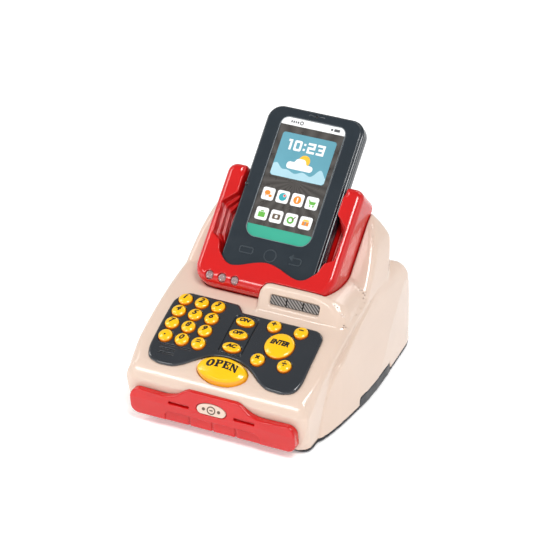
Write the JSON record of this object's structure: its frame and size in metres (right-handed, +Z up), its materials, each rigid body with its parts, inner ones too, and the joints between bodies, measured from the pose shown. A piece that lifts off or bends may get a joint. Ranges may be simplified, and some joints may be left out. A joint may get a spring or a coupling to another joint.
{
  "type": "toy cash register",
  "caption": "Toy cash register with a sprung keypad, an OPEN button that unlatches a sliding cash drawer, and a toy phone that lifts out of a cradle.",
  "frame": {"origin": "middle of the footprint, on the surface that the feet stand on", "axes": "+Z up, -Y towards the drawer front, +X to the user's right when they face the keypad"},
  "size_m": [0.1572, 0.193, 0.1771],
  "materials": {
    "cream_plastic": "moulded, glossy",
    "red_plastic": "moulded, glossy",
    "panel_plastic": "moulded, satin",
    "phone_plastic": "moulded, satin to glossy",
    "base_plastic": "moulded, fine texture",
    "yellow_plastic": "moulded, glossy, black pad-printed signs",
    "natural_plastic": "moulded, satin",
    "clear_lens": "clear lens over an unlit lamp",
    "smoked_window": "smoked, clear",
    "printed_label": "printed sheet, satin",
    "silicone": "matt",
    "circuit_board": "satin",
    "steel": "plated",
    "foot_rubber": "matt",
    "battery_wrap": "shrink wrap, glossy"
  },
  "bodies": {
    "root": {"upper_housing": "cream_plastic", "base_plate": "base_plastic", "cradle": "red_plastic", "lamp_lens_1": "clear_lens", "lamp_lens_2": "clear_lens", "lamp_lens_3": "clear_lens", "keypad_panel": "panel_plastic", "keypad_membrane": "silicone", "main_circuit_board": "circuit_board", "speaker": "steel", "display_window": "smoked_window", "display_label": "printed_label", "latch_bracket": "natural_plastic", "latch_pin": "steel", "drawer_spring": "steel", "battery_door": "base_plastic", "battery_door_screw": "steel", "battery_1": "battery_wrap", "battery_2": "battery_wrap", "battery_contact_1": "steel", "battery_contact_2": "steel", "housing_screw_1": "steel", "foot_1": "foot_rubber", "housing_screw_2": "steel", "foot_2": "foot_rubber", "housing_screw_3": "steel", "foot_3": "foot_rubber", "housing_screw_4": "steel", "foot_4": "foot_rubber"},
    "drawer": {"drawer_tray": "red_plastic", "drawer_fascia": "red_plastic", "drawer_badge": "cream_plastic"},
    "open_button": {"open_button": "yellow_plastic"},
    "latch": {"latch_lever": "natural_plastic"},
    "key_1": {"key_1": "yellow_plastic"},
    "key_2": {"key_2": "yellow_plastic"},
    "key_3": {"key_3": "yellow_plastic"},
    "key_4": {"key_4": "yellow_plastic"},
    "key_5": {"key_5": "yellow_plastic"},
    "key_6": {"key_6": "yellow_plastic"},
    "key_7": {"key_7": "yellow_plastic"},
    "key_8": {"key_8": "yellow_plastic"},
    "key_9": {"key_9": "yellow_plastic"},
    "key_point": {"key_point": "yellow_plastic"},
    "key_0": {"key_0": "yellow_plastic"},
    "key_equals": {"key_equals": "yellow_plastic"},
    "key_plus": {"key_plus": "yellow_plastic"},
    "key_minus": {"key_minus": "yellow_plastic"},
    "key_times": {"key_times": "yellow_plastic"},
    "key_divide": {"key_divide": "yellow_plastic"},
    "key_enter": {"key_enter": "yellow_plastic"},
    "key_on": {"key_on": "yellow_plastic"},
    "key_off": {"key_off": "yellow_plastic"},
    "key_clear": {"key_clear": "yellow_plastic"},
    "phone": {"phone_front_shell": "phone_plastic", "phone_back_shell": "phone_plastic", "phone_screen_label": "printed_label"},
    "phone_button": {"phone_side_button": "panel_plastic"}
  },
  "joints": [
    {"name": "drawer_slide", "type": "slide", "parent": "root", "child": "drawer", "axis": [0, -1, 0], "range_m": [0, 0.07]},
    {"name": "open_press", "type": "slide", "parent": "root", "child": "open_button", "axis": [0, 0.4785, -0.8781], "range_m": [0, 0.003], "stiffness_N_per_m": 300},
    {"name": "latch_turn", "type": "hinge", "parent": "root", "child": "latch", "pos_m": [0, -0.058, 0.033], "axis": [1, 0, 0], "range_deg": [0, 10.6]},
    {"name": "press_1", "type": "slide", "parent": "root", "child": "key_1", "axis": [0, 0.3159, -0.9488], "range_m": [0, 0.0012], "stiffness_N_per_m": 200},
    {"name": "press_2", "type": "slide", "parent": "root", "child": "key_2", "axis": [0, 0.3159, -0.9488], "range_m": [0, 0.0012], "stiffness_N_per_m": 200},
    {"name": "press_3", "type": "slide", "parent": "root", "child": "key_3", "axis": [0, 0.3159, -0.9488], "range_m": [0, 0.0012], "stiffness_N_per_m": 200},
    {"name": "press_4", "type": "slide", "parent": "root", "child": "key_4", "axis": [0, 0.3539, -0.9353], "range_m": [0, 0.0012], "stiffness_N_per_m": 200},
    {"name": "press_5", "type": "slide", "parent": "root", "child": "key_5", "axis": [0, 0.3539, -0.9353], "range_m": [0, 0.0012], "stiffness_N_per_m": 200},
    {"name": "press_6", "type": "slide", "parent": "root", "child": "key_6", "axis": [0, 0.3539, -0.9353], "range_m": [0, 0.0012], "stiffness_N_per_m": 200},
    {"name": "press_7", "type": "slide", "parent": "root", "child": "key_7", "axis": [0, 0.3914, -0.9202], "range_m": [0, 0.0012], "stiffness_N_per_m": 200},
    {"name": "press_8", "type": "slide", "parent": "root", "child": "key_8", "axis": [0, 0.3914, -0.9202], "range_m": [0, 0.0012], "stiffness_N_per_m": 200},
    {"name": "press_9", "type": "slide", "parent": "root", "child": "key_9", "axis": [0, 0.3914, -0.9202], "range_m": [0, 0.0012], "stiffness_N_per_m": 200},
    {"name": "press_point", "type": "slide", "parent": "root", "child": "key_point", "axis": [0, 0.4282, -0.9037], "range_m": [0, 0.0012], "stiffness_N_per_m": 200},
    {"name": "press_0", "type": "slide", "parent": "root", "child": "key_0", "axis": [0, 0.4282, -0.9037], "range_m": [0, 0.0012], "stiffness_N_per_m": 200},
    {"name": "press_equals", "type": "slide", "parent": "root", "child": "key_equals", "axis": [0, 0.4282, -0.9037], "range_m": [0, 0.0012], "stiffness_N_per_m": 200},
    {"name": "press_plus", "type": "slide", "parent": "root", "child": "key_plus", "axis": [0, 0.3328, -0.943], "range_m": [0, 0.0012], "stiffness_N_per_m": 200},
    {"name": "press_minus", "type": "slide", "parent": "root", "child": "key_minus", "axis": [0, 0.3328, -0.943], "range_m": [0, 0.0012], "stiffness_N_per_m": 200},
    {"name": "press_times", "type": "slide", "parent": "root", "child": "key_times", "axis": [0, 0.4318, -0.902], "range_m": [0, 0.0012], "stiffness_N_per_m": 200},
    {"name": "press_divide", "type": "slide", "parent": "root", "child": "key_divide", "axis": [0, 0.4318, -0.902], "range_m": [0, 0.0012], "stiffness_N_per_m": 200},
    {"name": "press_enter", "type": "slide", "parent": "root", "child": "key_enter", "axis": [0, 0.3828, -0.9238], "range_m": [0, 0.0012], "stiffness_N_per_m": 200},
    {"name": "press_on", "type": "slide", "parent": "root", "child": "key_on", "axis": [0, 0.3402, -0.9403], "range_m": [0, 0.0012], "stiffness_N_per_m": 200},
    {"name": "press_off", "type": "slide", "parent": "root", "child": "key_off", "axis": [0, 0.3792, -0.9253], "range_m": [0, 0.0012], "stiffness_N_per_m": 200},
    {"name": "press_clear", "type": "slide", "parent": "root", "child": "key_clear", "axis": [0, 0.4175, -0.9087], "range_m": [0, 0.0012], "stiffness_N_per_m": 200},
    {"name": "phone_lift", "type": "slide", "parent": "root", "child": "phone", "axis": [0, 0.7132, 0.7009], "range_m": [0, 0.07]},
    {"name": "phone_button_press", "type": "slide", "parent": "phone", "child": "phone_button", "axis": [0, 0.7009, -0.7132], "range_m": [0, 0.0008], "stiffness_N_per_m": 200}
  ],
  "couplings": [
    {"joint": "latch_turn", "follows": "open_press", "rad_per_m": 60}
  ]
}
